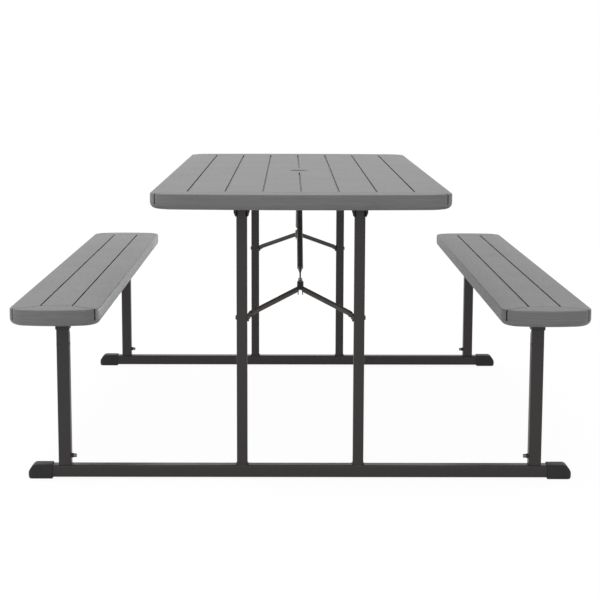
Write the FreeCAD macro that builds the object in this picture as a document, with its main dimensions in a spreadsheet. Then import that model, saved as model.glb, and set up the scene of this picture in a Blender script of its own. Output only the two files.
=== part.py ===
"""Folding table with two attached benches, on two fold-in steel end frames.

The row frame: origin on the floor under the middle of the top, +X across the
table, +Y along it, +Z up.  The front end is at -Y.  Everything that belongs to
the rear end is the front piece turned half a turn about Z.
"""
import FreeCAD, Part
import math
import os
import re
import Sketcher
from FreeCAD import Placement, Rotation, Vector

# ---------------------------------------------------------------- driving sizes (mm)
SIZES = [
    # table top: a moulded deck with a skirt, closed below by a lower skin
    ("table_length", 1829), ("table_width", 744), ("table_height", 737),
    ("top_depth", 38.5), ("top_body", 26), ("deck_wall", 5), ("skirt_wall", 20), ("skin_wall", 3),
    ("top_corner", 60), ("end_bow", 20), ("inner_bow", 18), ("edge_round", 4), ("lower_round", 15),
    ("groove_width", 3.6), ("groove_depth", 2.2),
    ("top_groove_pitch", 93.8), ("top_groove_count", 7), ("top_groove_inset", 103),
    ("umbrella_radius", 25.4), ("umbrella_lip", 4), ("umbrella_flat", 105), ("sleeve_wall", 5),
    # benches
    ("bench_spread", 607), ("bench_width", 224), ("bench_height", 454),
    ("bench_depth", 41), ("bench_body", 26), ("bench_corner", 38),
    ("bench_groove_pitch", 79.4), ("bench_groove_count", 2), ("bench_groove_inset", 78),
    # end frames
    ("frame_inset", 144.5), ("rail_tip", 694), ("rail_size", 31.75), ("tube_wall", 1.6), ("tube_corner", 4),
    ("upright_size", 27), ("upright_spread", 148.2), ("upright_end", 14),
    ("hinge_drop", 33), ("hinge_bolt_radius", 4), ("pin_clearance", 0.05),
    ("cap_wall", 3), ("cap_crown", 2.5), ("cap_length", 61), ("cap_nose", 14), ("cap_sweep", 18),
    ("cap_toe", 5), ("cap_round", 2),
    # hinge brackets under the top
    ("bracket_wall", 2.5), ("bracket_length", 44), ("bracket_flange", 31),
    ("bracket_gap", 0.6), ("bracket_flare", 3.2), ("bracket_taper", 11), ("bracket_drop", 6),
    ("ear_end", 1.5), ("spot_face", 2.1), ("spot_room", 0.3), ("hinge_head_radius", 5), ("hinge_head", 1.6),
    ("brace_bracket_flange", 24),
    ("screw_radius", 2.5), ("screw_head_radius", 4.6), ("screw_head", 2.6), ("screw_length", 14),
    ("screw_pitch", 26), ("screw_inset", 5),
    # fold-up brace: wishbone on the uprights, knee, and a tube to the top
    ("yoke_height", 415), ("brace_reach", 612), ("brace_drop", 17), ("yoke_length", 162),
    ("arm_radius", 7), ("arm_bend", 10), ("arm_gap", 0.4), ("arm_foot", 18), ("arm_rise", 14),
    ("arm_meet", 118), ("arm_tab", 4), ("arm_eye", 10), ("arm_neck", 5), ("arm_bite", 2),
    ("yoke_bolt_radius", 4), ("yoke_head_radius", 6), ("yoke_head", 3),
    ("knee_width", 14), ("fork_width", 10.4), ("knee_wall", 2.5), ("knee_heel", 54), ("knee_nose", 14),
    ("knee_waist", 30), ("knee_slope", 10), ("knee_over", 16), ("knee_under", 7.5), ("knee_mouth", 10),
    ("knee_rivet_radius", 3), ("knee_head_radius", 6), ("knee_head", 2.5),
    ("brace_radius", 8), ("brace_wall", 1.5), ("tongue_wall", 4), ("tongue_tall", 14),
    ("tongue_length", 58), ("flare_length", 21), ("flare_bite", 4), ("tongue_tail", 9),
    ("ring_wire", 1.5), ("ring_bend", 2.2), ("ring_gap", 0.3), ("ring_place", 144), ("ring_lip", 1.2),
    # bench legs
    ("leg_spread", 601), ("leg_pivot_height", 346), ("leg_size", 31.75),
    ("leg_gap", 0.3), ("leg_rivet_radius", 4), ("rivet_head_radius", 5), ("rivet_head", 1.6),
    ("notch_room", 1.5), ("lean_drop", 19),
    ("socket_height", 30), ("socket_gap", 0.55), ("socket_wall", 2),
    ("tab_gap", 0.55), ("tab_depth", 16), ("tab_wall", 3), ("tab_heel", 4),
    ("cup_size", 35), ("cup_height", 42), ("cup_gap", 0.6), ("plate_size", 64), ("plate_screw", 25),
    # spring lock pins at the feet of the bench legs
    ("lock_height", 22), ("lock_radius", 4), ("lock_bite", 6), ("lock_boss", 5),
    ("lock_boss_radius", 6), ("lock_knob", 8), ("hole_play", 0.1),
]
ALIASES = {name for name, _ in SIZES}

doc = FreeCAD.newDocument("BenchTable")
sheet = doc.addObject("Spreadsheet::Sheet", "Sizes")
for row, (name, number) in enumerate(SIZES, start=1):
    sheet.set(f"A{row}", name)
    sheet.set(f"B{row}", str(number))
    sheet.setAlias(f"B{row}", name)
doc.recompute()


# ---------------------------------------------------------------- helpers
def formula(text):
    """The same formula with each size's alias written as a cell of the sheet."""
    return re.sub(r"[a-z_]+", lambda m: f"Sizes.{m[0]}" if m[0] in ALIASES else m[0], text)


def mm(text):
    """What a formula of the sheet's sizes comes to."""
    found = sheet.evalExpression(formula(text))
    return float(getattr(found, "Value", found))


def bind(thing, prop, text):
    thing.setExpression(prop, formula(text))


# sizes that follow from the driving ones
TOP_UNDER = "(table_height - top_body)"
BENCH_UNDER = "(bench_height - bench_body)"
FRAME_REACH = "(table_length / 2 - frame_inset)"
HINGE_HEIGHT = f"({TOP_UNDER} - hinge_drop)"
RAIL_MID = "(cap_wall + rail_size / 2)"
RAIL_TOP = "(cap_wall + rail_size)"
RAIL_HALF = "(rail_tip - cap_nose)"
BRACE_HEIGHT = "(table_height - top_body - brace_drop)"
BRACE_RISE = f"({BRACE_HEIGHT} - yoke_height)"
LEG_FOOT = f"({RAIL_TOP} + leg_gap)"
LEG_TOP = f"({BENCH_UNDER} - leg_pivot_height - cup_height - cup_gap)"
PAST = 5                                      # how far a cutting outline runs past what it cuts
ROOM = 400                                    # longer than any piece that is cut right through
KNEE_TILT = math.atan2(mm(BRACE_RISE), mm("brace_reach"))
LINK_LENGTH = math.hypot(mm(BRACE_RISE), mm("brace_reach")) - mm("yoke_length")

ENDS = (("front", 0.0), ("rear", 180.0))
SIDES = (("left", -1), ("right", 1))


def sides_of(turn):
    """The two sides of an end, as the name of the side and the way it lies before the end is turned."""
    names = ("left", "right") if turn == 0 else ("right", "left")
    return tuple(zip(names, (-1, 1)))


def at_end(turn, x, y, z, tilt=0.0):
    """A placement given at the front end, turned to its own end of the table."""
    there = Placement(Vector(0, 0, 0), Rotation(Vector(0, 0, 1), turn))
    here = Placement(Vector(x, y, z), Rotation(Vector(1, 0, 0), math.degrees(tilt)))
    return there.multiply(here)


def body(name, place=None):
    made = doc.addObject("PartDesign::Body", name)
    made.Label = name
    if place:
        made.Placement = place
    return made


def sketch(owner, name, plane, shift="0"):
    """A sketch on one of the body's own planes, shifted along its normal."""
    made = owner.newObject("Sketcher::SketchObject", f"{owner.Name}_{name}")
    base = [o for o in owner.Origin.OriginFeatures if o.Role == plane][0]
    made.AttachmentSupport = (base, [""])
    made.MapMode = "FlatFace"
    bind(made, "AttachmentOffset.Base.z", shift)
    return made


def pin_point(into, item, end, across, up):
    """Hold one point of a sketch at a place given by two formulas."""
    for kind, text in (("DistanceX", across), ("DistanceY", up)):
        held = into.addConstraint(Sketcher.Constraint(kind, -1, 1, item, end, mm(text)))
        bind(into, f"Constraints[{held}]", text)


def polygon(into, points):
    """A closed outline through points that are each two formulas."""
    places = [Vector(mm(across), mm(up), 0) for across, up in points]
    first = into.GeometryCount
    count = len(points)
    for i, place in enumerate(places):
        into.addGeometry(Part.LineSegment(place, places[(i + 1) % count]), False)
    for i, (across, up) in enumerate(points):
        into.addConstraint(Sketcher.Constraint("Coincident", first + i, 2, first + (i + 1) % count, 1))
        pin_point(into, first + i, 1, across, up)


def rectangle(into, wide, tall, across="0", up="0"):
    polygon(into, [(f"{across} + {i} * {wide} / 2", f"{up} + {j} * {tall} / 2")
                   for i, j in ((-1, -1), (1, -1), (1, 1), (-1, 1))])


def circle(into, radius, across="0", up="0"):
    spot = Vector(mm(across), mm(up), 0)
    item = into.addGeometry(Part.Circle(spot, Vector(0, 0, 1), mm(radius)), False)
    held = into.addConstraint(Sketcher.Constraint("Radius", item, mm(radius)))
    bind(into, f"Constraints[{held}]", radius)
    pin_point(into, item, 3, across, up)


def feature(owner, kind, name, profile, length=None, both=False, back=False):
    """A pad or a pocket; with no length a pocket goes through everything."""
    made = owner.newObject(f"PartDesign::{kind}", f"{owner.Name}_{name}")
    made.Profile = profile
    if length:
        bind(made, "Length", length)
    else:
        made.Type = "ThroughAll"
    made.Midplane = both
    made.Reversed = back
    doc.recompute()
    return made


def cut_checked(owner, name, profile, length=None, both=False, back=False):
    """A pocket that must take something away."""
    before = owner.Shape.Volume
    made = feature(owner, "Pocket", name, profile, length, both, back)
    if not made.Shape.Volume < before:
        raise ValueError(f"{owner.Name} {name} cuts nothing")
    return made


def round_edges(owner, name, radius, wanted):
    """Fillet the edges of the body that the test picks."""
    base = owner.Tip
    edges = [f"Edge{i}" for i, edge in enumerate(base.Shape.Edges, start=1) if wanted(edge)]
    made = owner.newObject("PartDesign::Fillet", f"{owner.Name}_{name}")
    made.Base = (base, edges)
    bind(made, "Radius", radius)
    doc.recompute()
    return made


def runs_along(edge, axis):
    box = edge.BoundBox
    spans = (box.XLength, box.YLength, box.ZLength)
    return spans[axis] > 1 and sum(spans) - spans[axis] < 1e-6


def solid_node(name, shape, place=None):
    """A sub-part whose shape is made by Part's own functions."""
    made = doc.addObject("Part::Feature", name)
    made.Label = name
    made.Shape = shape
    if place:
        made.Placement = place
    return made


NODES = []


def keep(*made):
    NODES.extend(made)
    return made[0]


# ---------------------------------------------------------------- moulded panels
def outline(into, length, width, corner, bow):
    """Straight sides, bowed ends and round corners, each arc tangent to its neighbours."""
    half_l, half_w, r, b = mm(length) / 2, mm(width) / 2, mm(corner), mm(bow)
    big = (half_w ** 2 + b ** 2) / (2 * b)
    near = half_l - big                       # the end arc's centre, from the middle
    side = near + math.sqrt((big - r) ** 2 - (half_w - r) ** 2)
    lean = math.atan2(side - near, half_w - r)  # where the corner arc meets the end arc
    arcs = []
    for sx, sy in ((1, 1), (-1, 1), (-1, -1), (1, -1)):
        start = math.atan2(0, sx)
        end = math.atan2(sy * math.sin(lean), sx * math.cos(lean))
        ends = (start, end) if sx * sy > 0 else (end, start)
        centre = Vector(sx * (half_w - r), sy * side, 0)
        round_off = Part.Circle(centre, Vector(0, 0, 1), r)
        arcs.append(into.addGeometry(Part.ArcOfCircle(round_off, *ends), False))
    for sy in (1, -1):
        lo, hi = (lean, math.pi - lean) if sy > 0 else (math.pi + lean, 2 * math.pi - lean)
        rim = Part.Circle(Vector(0, sy * near, 0), Vector(0, 0, 1), big)
        arcs.append(into.addGeometry(Part.ArcOfCircle(rim, lo, hi), False))
    for sx, lo, hi in ((-1, side, -side), (1, -side, side)):
        line = Part.LineSegment(Vector(sx * half_w, lo, 0), Vector(sx * half_w, hi, 0))
        arcs.append(into.addGeometry(line, False))
    ne, nw, sw, se, top, low, left, right = arcs
    for a, a_end, c, c_end in ((right, 2, ne, 1), (ne, 2, top, 1), (top, 2, nw, 1), (nw, 2, left, 1),
                               (left, 2, sw, 1), (sw, 2, low, 1), (low, 2, se, 1), (se, 2, right, 1)):
        into.addConstraint(Sketcher.Constraint("Tangent", a, a_end, c, c_end))
    for arc in (nw, sw, se):
        into.addConstraint(Sketcher.Constraint("Equal", ne, arc))
    held = into.addConstraint(Sketcher.Constraint("Radius", ne, r))
    bind(into, f"Constraints[{held}]", corner)
    round_end = f"((({width}) / 2) ^ 2 + ({bow}) ^ 2) / (2 * ({bow}))"
    for arc, sign in ((top, -1), (low, 1)):
        held = into.addConstraint(Sketcher.Constraint("Radius", arc, big))
        bind(into, f"Constraints[{held}]", round_end)
        pin_point(into, arc, 3, "0", f"{sign} * ({round_end} - ({length}) / 2)")
    for line, sign in ((left, -1), (right, 1)):
        held = into.addConstraint(Sketcher.Constraint("DistanceX", -1, 1, line, 1, sign * half_w))
        bind(into, f"Constraints[{held}]", f"{sign} * ({width}) / 2")


def panel(name, across, width, height, depth, corner, groove):
    """A moulded deck: rounded rim, hollow underneath, straight grooves along the top."""
    made = body(name, Placement(Vector(mm(across), 0, mm(f"{height} - {depth}")), Rotation()))
    rim = sketch(made, "rim", "XY_Plane")
    outline(rim, "table_length", width, corner, "end_bow")
    feature(made, "Pad", "slab", rim, depth)
    top = mm(depth)
    round_edges(made, "top_edge", "edge_round", lambda e: abs(e.BoundBox.ZMin - top) < 1e-6)
    hollow = sketch(made, "hollow", "XY_Plane")
    inset_outline(hollow, width, corner)
    cut_checked(made, "underside", hollow, f"{depth} - deck_wall", back=True)
    round_edges(made, "lower_edge", "lower_round", lambda e: outer_low_edge(e, mm(width)))
    pitch, count, inset = groove
    line = sketch(made, "groove", "XY_Plane", depth)
    rectangle(line, "groove_width", f"(table_length - 2 * {inset})", f"-{pitch} * ({count} - 1) / 2")
    cut = cut_checked(made, "first_groove", line, "groove_depth")
    rows = made.newObject("PartDesign::LinearPattern", f"{name}_grooves")
    rows.Originals = [cut]
    rows.Direction = (line, ["H_Axis"])
    bind(rows, "Length", f"{pitch} * ({count} - 1)")
    bind(rows, "Occurrences", count)
    made.Tip = rows
    doc.recompute()
    return made


def inset_outline(into, width, corner):
    outline(into, "(table_length - 2 * skirt_wall)", f"({width} - 2 * skirt_wall)",
            f"({corner} - skirt_wall)", "inner_bow")


def outer_low_edge(edge, width):
    """The rim's outer edge on the underside, which is the longer way round."""
    box = edge.BoundBox
    if box.ZMax > 1e-6:
        return False
    reach_x = max(abs(box.XMin), abs(box.XMax))
    reach_y = max(abs(box.YMin), abs(box.YMax))
    wall = mm("skirt_wall")
    return reach_x > width / 2 - wall / 2 or reach_y > mm("table_length") / 2 - wall / 2


def lower_skin(name, across, width, height, under, corner, holes):
    """The thin skin that closes a panel from below, with its screw holes."""
    made = body(name, Placement(Vector(mm(across), 0, mm(under)), Rotation()))
    rim = sketch(made, "rim", "XY_Plane")
    inset_outline(rim, width, corner)
    feature(made, "Pad", "sheet", rim, "skin_wall")
    for i, (radius, x, y) in enumerate(holes):
        hole = sketch(made, f"hole{i}", "XY_Plane")
        circle(hole, radius, x, y)
        cut_checked(made, f"drill{i}", hole, back=True)
    return made


# ---------------------------------------------------------------- steel tube
def square_tube(name, place, plane, size, length, shift="0", both=False):
    """A square tube with round corners, along the normal of the given plane."""
    made = body(name, place)
    outer = sketch(made, "outer", plane, shift)
    rectangle(outer, size, size)
    pad = feature(made, "Pad", "bar", outer, length, both)
    axis = {"XY_Plane": 2, "YZ_Plane": 0}[plane]
    round_edges(made, "corners", "tube_corner", lambda e: runs_along(e, axis) and mm(length) > 50)
    inner = sketch(made, "inner", plane, shift)
    rectangle(inner, f"({size} - 2 * tube_wall)", f"({size} - 2 * tube_wall)")
    cut_checked(made, "bore", inner, f"2 * ({length})", both=True)
    return made


def drill_x(owner, name, radius, y, z):
    """A hole right through a body along X."""
    hole = sketch(owner, name, "YZ_Plane")
    circle(hole, radius, y, z)
    return cut_checked(owner, f"{name}_cut", hole, str(ROOM), both=True)


# ---------------------------------------------------------------- turned fasteners
def shank(radius, low, high, y=0.0, z=0.0):
    """A round bar along X between two places."""
    return Part.makeCylinder(radius, high - low, Vector(low, y, z), Vector(1, 0, 0))


def domed_head(radius, height, face, way, y=0.0, z=0.0):
    """A round head on a face across X, domed away from it."""
    disc = Part.makeCylinder(radius, height, Vector(face, y, z), Vector(way, 0, 0))
    rim = [e for e in disc.Edges if abs(e.BoundBox.XMin - face - way * height) < 1e-6
           and e.BoundBox.XLength < 1e-6]
    return disc.makeFillet(min(height, radius) * 0.7, rim)


def cross_bolt(radius, head_radius, head, reach, y=0.0, z=0.0, middle=0.0):
    """A bolt or rivet along X with a head outside each of two faces."""
    bar = shank(radius, middle - reach, middle + reach, y, z)
    low = domed_head(head_radius, head, middle - reach, -1, y, z)
    high = domed_head(head_radius, head, middle + reach, 1, y, z)
    return bar.fuse([low, high]).removeSplitter()


def wood_screw(x, y, plate_under):
    """A screw from below: pan head on the plate, shank up through plate and skin."""
    head = Part.makeCylinder(mm("screw_head_radius"), mm("screw_head"), Vector(x, y, plate_under),
                             Vector(0, 0, -1))
    low = [e for e in head.Edges if e.BoundBox.ZMax < plate_under - mm("screw_head") + 1e-6]
    head = head.makeFillet(mm("screw_head") * 0.6, low)
    bar = Part.makeCylinder(mm("screw_radius"), mm("screw_length"), Vector(x, y, plate_under))
    return head.fuse(bar).removeSplitter()


# ---------------------------------------------------------------- end frame pieces
def foot_cap(name, turn, side):
    """A moulded cap over the end of the rail, its top swept down to the outer end."""
    made = body(name, at_end(turn, 0, -mm(FRAME_REACH), 0))
    tall = f"({RAIL_TOP} + cap_crown)"
    start = "(rail_tip - cap_length)"
    view = sketch(made, "side", "XZ_Plane")
    polygon(view, [(f"{side} * {start}", "0"), (f"{side} * rail_tip", "0"),
                   (f"{side} * rail_tip", tall), (f"{side} * {start}", tall)])
    feature(made, "Pad", "block", view, "(rail_size + 2 * cap_wall)", both=True)
    near = mm(start) + 1
    top = mm(tall)
    round_edges(made, "sweep", "cap_sweep",
                lambda e: runs_along(e, 1) and abs(e.CenterOfMass.x) > near and e.BoundBox.ZMin > top - 1)
    round_edges(made, "toe", "cap_toe",
                lambda e: runs_along(e, 1) and abs(e.CenterOfMass.x) > near and e.BoundBox.ZMax < 1)
    round_edges(made, "soft", "cap_round",
                lambda e: e.BoundBox.YLength < 1e-6 and abs(e.CenterOfMass.x) > near
                and e.BoundBox.ZMax > 1e-6)
    bore = sketch(made, "bore", "YZ_Plane", f"{side} * {RAIL_HALF}")
    rectangle(bore, "rail_size", "rail_size", "0", RAIL_MID)
    cut_checked(made, "socket", bore, f"({RAIL_HALF} - {start} + 1)", back=side < 0)
    return made


def end_frame(end, turn):
    """Floor rail, two uprights, foot caps, sockets for the bench legs, and the yoke's bolts."""
    reach = -mm(FRAME_REACH)
    keep(square_tube(f"{end}_floor_rail", at_end(turn, 0, reach, mm(RAIL_MID)), "YZ_Plane",
                     "rail_size", f"2 * {RAIL_HALF}", both=True))
    for side, way in sides_of(turn):
        x = way * mm("upright_spread")
        post = square_tube(f"{end}_{side}_upright", at_end(turn, x, reach, mm(RAIL_TOP)), "XY_Plane",
                           "upright_size", f"({HINGE_HEIGHT} + upright_end - {RAIL_TOP})")
        drill_x(post, "hinge_hole", "(hinge_bolt_radius + pin_clearance)", "0",
                f"{HINGE_HEIGHT} - {RAIL_TOP}")
        drill_x(post, "yoke_hole", "yoke_bolt_radius", "0", f"yoke_height - {RAIL_TOP}")
        keep(post)
        keep(foot_cap(f"{end}_{side}_foot_cap", turn, way))
    sockets = []
    outer = mm("leg_size / 2 - tube_wall - socket_gap")
    for _, way in SIDES:
        x = way * mm("leg_spread")
        block = Part.makeBox(2 * outer, 2 * outer, mm("socket_height"),
                             Vector(x - outer, reach - outer, mm(RAIL_TOP)))
        upright = [e for e in block.Edges if runs_along(e, 2)]
        block = block.makeFillet(mm("tube_corner - tube_wall"), upright)
        inside = outer - mm("socket_wall")
        block = block.cut(Part.makeBox(2 * inside, 2 * inside, mm("socket_height"),
                                       Vector(x - inside, reach - inside, mm(RAIL_TOP))))
        hole = shank(mm("lock_radius + hole_play"), -2 * outer, 2 * outer, reach,
                     mm(f"{RAIL_TOP} + lock_height"))
        hole.translate(Vector(x - way * 2 * outer, 0, 0))
        sockets.append(block.cut(hole))
    keep(solid_node(f"{end}_leg_sockets", Part.makeCompound(sockets), at_end(turn, 0, 0, 0)))
    bolts = []
    half = mm("upright_size") / 2
    for _, way in SIDES:
        x = way * mm("upright_spread")
        bar = shank(mm("yoke_bolt_radius"), x - half, x + half, reach, mm("yoke_height"))
        head = domed_head(mm("yoke_head_radius"), mm("yoke_head"), x + way * half, way,
                          reach, mm("yoke_height"))
        bolts.append(bar.fuse(head).removeSplitter())
    keep(solid_node(f"{end}_yoke_bolts", Part.makeCompound(bolts), at_end(turn, 0, 0, 0)))


# ---------------------------------------------------------------- brackets under the top
def hat_bracket(name, place, gap, flange, drop, flared):
    """A folded bracket with two ears, seen from the front and padded along the table.

    Its zero is the pivot; drop is how far the plate lies above it.  A flared bracket's ears
    are thickest at the top and run out against what hangs between them."""
    made = body(name, place)
    wall, low, fold = "bracket_wall", "(-bracket_drop)", f"({drop} - bracket_wall)"
    outer = f"({gap} + {wall} + bracket_flare)" if flared else f"({gap} + {wall})"
    half = [(flange, drop), (flange, fold), (outer, fold)]
    if flared:
        half += [(outer, "(bracket_taper - bracket_drop)"), (f"({gap} + ear_end)", low)]
    else:
        half.append((outer, low))
    half += [(gap, low), (gap, fold)]
    mirrored = [(f"(-({x}))", z) for x, z in reversed(half)]
    view = sketch(made, "view", "XZ_Plane")
    polygon(view, half + mirrored)
    feature(made, "Pad", "fold", view, "bracket_length", both=True)
    round_edges(made, "ear_ends", "bracket_drop * 0.8",
                lambda e: runs_along(e, 0) and e.BoundBox.ZMax < mm(low) + 0.01)
    return made


def spot_faces(owner, radius, across):
    """A flat seat for a bolt's head on the outside of each ear."""
    for sign, side in ((-1, "left"), (1, "right")):
        seat = sketch(owner, f"{side}_seat", "YZ_Plane", f"{sign} * {across}")
        circle(seat, radius)
        cut_checked(owner, f"{side}_spot_face", seat, "bracket_length", back=sign > 0)


def drill_z(owner, spots, low):
    """Screw holes through the plate of a bracket."""
    holes = sketch(owner, "screws", "XY_Plane", low)
    for x, y in spots:
        circle(holes, "screw_radius", x, y)
    cut_checked(owner, "screw_holes", holes, "2 * bracket_wall", both=True)


HINGE_GAP = "(upright_size / 2 + bracket_gap)"
BRACE_GAP = "(brace_radius + bracket_gap)"
HINGE_SEAT = f"({HINGE_GAP} + spot_face)"
HINGE_SCREWS = [(f"({i} * (bracket_flange - screw_inset))", f"({j} * screw_pitch / 2)")
                for i in (-1, 1) for j in (-1, 1)]
BRACE_SCREWS = [(f"({i} * (brace_bracket_flange - screw_inset))", f"({j} * screw_pitch / 2)")
                for i in (-1, 1) for j in (-1, 1)]


def brackets_under_top():
    bolts = []
    screws = []
    plate_under = mm(f"{TOP_UNDER} - bracket_wall")
    for end, turn in ENDS:
        for side, way in sides_of(turn):
            x, y = way * mm("upright_spread"), -mm(FRAME_REACH)
            ear = hat_bracket(f"{end}_{side}_hinge_bracket", at_end(turn, x, y, mm(HINGE_HEIGHT)),
                              HINGE_GAP, "bracket_flange", "hinge_drop", True)
            drill_x(ear, "bolt_hole", "(hinge_bolt_radius + pin_clearance)", "0", "0")
            spot_faces(ear, "(hinge_head_radius + spot_room)", HINGE_SEAT)
            drill_z(ear, HINGE_SCREWS, "hinge_drop")
            keep(ear)
            bolt = cross_bolt(mm("hinge_bolt_radius"), mm("hinge_head_radius"), mm("hinge_head"),
                              mm(HINGE_SEAT), y, mm(HINGE_HEIGHT), x)
            bolt.Placement = at_end(turn, 0, 0, 0)
            bolts.append(bolt)
            for sx, sy in HINGE_SCREWS:
                screw = wood_screw(x + mm(sx), y + mm(sy), plate_under)
                screw.Placement = at_end(turn, 0, 0, 0)
                screws.append(screw)
        y = -mm(f"{FRAME_REACH} - brace_reach")
        ear = hat_bracket(f"{end}_brace_bracket", at_end(turn, 0, y, mm(BRACE_HEIGHT)),
                          BRACE_GAP, "brace_bracket_flange", "brace_drop", False)
        drill_x(ear, "bolt_hole", "(knee_rivet_radius + pin_clearance)", "0", "0")
        drill_z(ear, BRACE_SCREWS, "brace_drop")
        keep(ear)
        bolt = cross_bolt(mm("knee_rivet_radius"), mm("knee_head_radius"), mm("knee_head"),
                          mm(f"{BRACE_GAP} + bracket_wall"), y, mm(BRACE_HEIGHT))
        bolt.Placement = at_end(turn, 0, 0, 0)
        bolts.append(bolt)
        for sx, sy in BRACE_SCREWS:
            screw = wood_screw(mm(sx), y + mm(sy), plate_under)
            screw.Placement = at_end(turn, 0, 0, 0)
            screws.append(screw)
    keep(solid_node("top_pivot_bolts", Part.makeCompound(bolts)))
    keep(solid_node("top_bracket_screws", Part.makeCompound(screws)))


def top_skin_holes():
    """Where the brackets' screws and the umbrella sleeve go through the top's lower skin."""
    holes = [("(umbrella_radius + sleeve_wall)", "0", "0")]
    for sign in (-1, 1):
        for way in (-1, 1):
            for x, y in HINGE_SCREWS:
                holes.append(("screw_radius", f"{way} * upright_spread + {x}",
                              f"{sign} * {FRAME_REACH} + {y}"))
        for x, y in BRACE_SCREWS:
            holes.append(("screw_radius", x, f"{sign} * ({FRAME_REACH} - brace_reach) + {y}"))
    return holes


# ---------------------------------------------------------------- fold-up brace
NECK_SKIN = 0.15                              # a neck's ends lie this far inside what they join


def brace_place(turn):
    """The brace's own frame: zero at the yoke's pivots, +Y along the brace, +Z above it."""
    return at_end(turn, 0, -mm(FRAME_REACH), mm("yoke_height"), KNEE_TILT)


def yoke_arm(name, turn, way):
    """A round bar that bends in towards the knee, its end flattened against the upright."""
    face = mm("upright_spread - upright_size / 2 - arm_gap")
    radius, tab, bite = mm("arm_radius"), mm("arm_tab"), mm("arm_bite")
    across = way * (face - radius)
    corner = Vector(across, mm("arm_foot"), 0)
    target = Vector(0, mm("arm_meet"), mm("arm_rise"))
    along = Vector(0, 1, 0)
    onward = (target - corner).normalize()
    half_turn = onward.getAngle(along) / 2
    back = mm("arm_bend") * math.tan(half_turn)
    first, last = corner - along * back, corner + onward * back
    start = first - along * bite
    to_centre = (onward - along).normalize()
    middle = corner + to_centre * mm("arm_bend") * (1 / math.cos(half_turn) - 1)
    path = Part.Wire([Part.LineSegment(start, first).toShape(),
                      Part.Arc(first, middle, last).toShape(),
                      Part.LineSegment(last, target).toShape()])
    section = Part.Wire([Part.Circle(start, along, radius).toShape()])
    bar = path.makePipeShell([section], True, False)
    neck = Part.makeLoft([oval(mm("arm_neck"), tab / 2 - NECK_SKIN, radius, way * (face - tab / 2)),
                          oval(start.y + bite / 2, radius - NECK_SKIN, radius - NECK_SKIN, across)], True)
    eye = shank(mm("arm_eye"), *sorted((way * face, way * (face - tab))))
    head = domed_head(mm("yoke_bolt_radius"), mm("yoke_head"), way * (face - tab), -way)
    half = mm("knee_width / 2")
    room_corner = Vector(half - ROOM if way > 0 else -half, -ROOM / 2, -ROOM / 2)
    arm = bar.fuse([neck, eye, head]).removeSplitter().cut(Part.makeBox(ROOM, ROOM, ROOM, room_corner))
    return solid_node(name, arm, brace_place(turn))


def knee_plan(into, wide, narrow, start, end):
    """The channel seen from above: wide at the arms, with sloping shoulders to the fork."""
    half = [(wide, start), (wide, "(yoke_length - knee_waist)"),
            (narrow, "(yoke_length - knee_waist + knee_slope)"), (narrow, end)]
    polygon(into, half + [(f"(-({x}))", y) for x, y in reversed(half)])


def knee_clevis(name, turn):
    """A channel, open below, that the arms are welded to and the brace tube hinges in."""
    made = body(name, brace_place(turn))
    start, end = "(yoke_length - knee_heel)", "(yoke_length + knee_nose)"
    plan = sketch(made, "plan", "XY_Plane", "(-knee_under)")
    knee_plan(plan, "(knee_width / 2)", "(fork_width / 2)", start, end)
    feature(made, "Pad", "block", plan, "(knee_under + knee_over)")
    for label, corner in (("heel", [(start, "(knee_under / 2)"), (start, "(-knee_under)"),
                                    ("arm_meet", "(-knee_under)")]),
                          ("toe", [(end, "(-knee_under / 2)"), (end, "(-knee_under)"),
                                   ("(yoke_length + knee_nose / 2)", "(-knee_under)")]),
                          ("crown", [(end, "(knee_over / 2)"), (end, "knee_over"),
                                     ("(yoke_length - knee_mouth)", "knee_over")])):
        trim = sketch(made, label, "YZ_Plane")
        polygon(trim, corner)
        cut_checked(made, f"{label}_trim", trim, "(2 * knee_width)", both=True)
    inside = sketch(made, "inside", "XY_Plane", "(-knee_under)")
    knee_plan(inside, "(knee_width / 2 - knee_wall)", "(fork_width / 2 - knee_wall)",
              f"({start} - {PAST})", f"({end} + {PAST})")
    cut_checked(made, "channel", inside, "(knee_under + knee_over - knee_wall)", back=True)
    mouth = sketch(made, "mouth", "XY_Plane")
    rectangle(mouth, "(fork_width - 2 * knee_wall)", "(2 * (knee_mouth + knee_nose))", "0",
              "(yoke_length + knee_nose)")
    cut_checked(made, "fork", mouth, "(2 * knee_over)", back=True)
    drill_x(made, "rivet_hole", "knee_rivet_radius", "yoke_length", "0")
    return made


def lock_ring(name, turn):
    """A split wire ring round the fork, its ends turned in under the ears."""
    wire, bend, y = mm("ring_wire"), mm("ring_bend"), mm("ring_place")
    off = wire + mm("ring_gap")
    side = mm("fork_width / 2") + off
    high = mm("knee_over") + off
    low = -mm("knee_under") - off
    tip = mm("fork_width / 2 - ring_lip")
    points = [Vector(x, y, z) for x, z in ((-tip, low), (-side, low), (-side, high),
                                           (side, high), (side, low), (tip, low))]
    edges = []
    last = points[0]
    for before, here, after in zip(points, points[1:], points[2:]):
        enter = here + (before - here).normalize() * bend
        leave = here + (after - here).normalize() * bend
        middle = here + (enter + leave - here * 2) * (1 - math.sqrt(0.5))
        edges.append(Part.LineSegment(last, enter).toShape())
        edges.append(Part.Arc(enter, middle, leave).toShape())
        last = leave
    edges.append(Part.LineSegment(last, points[-1]).toShape())
    section = Part.Wire([Part.Circle(points[0], Vector(1, 0, 0), wire).toShape()])
    return solid_node(name, Part.Wire(edges).makePipeShell([section], True, False), brace_place(turn))


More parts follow.
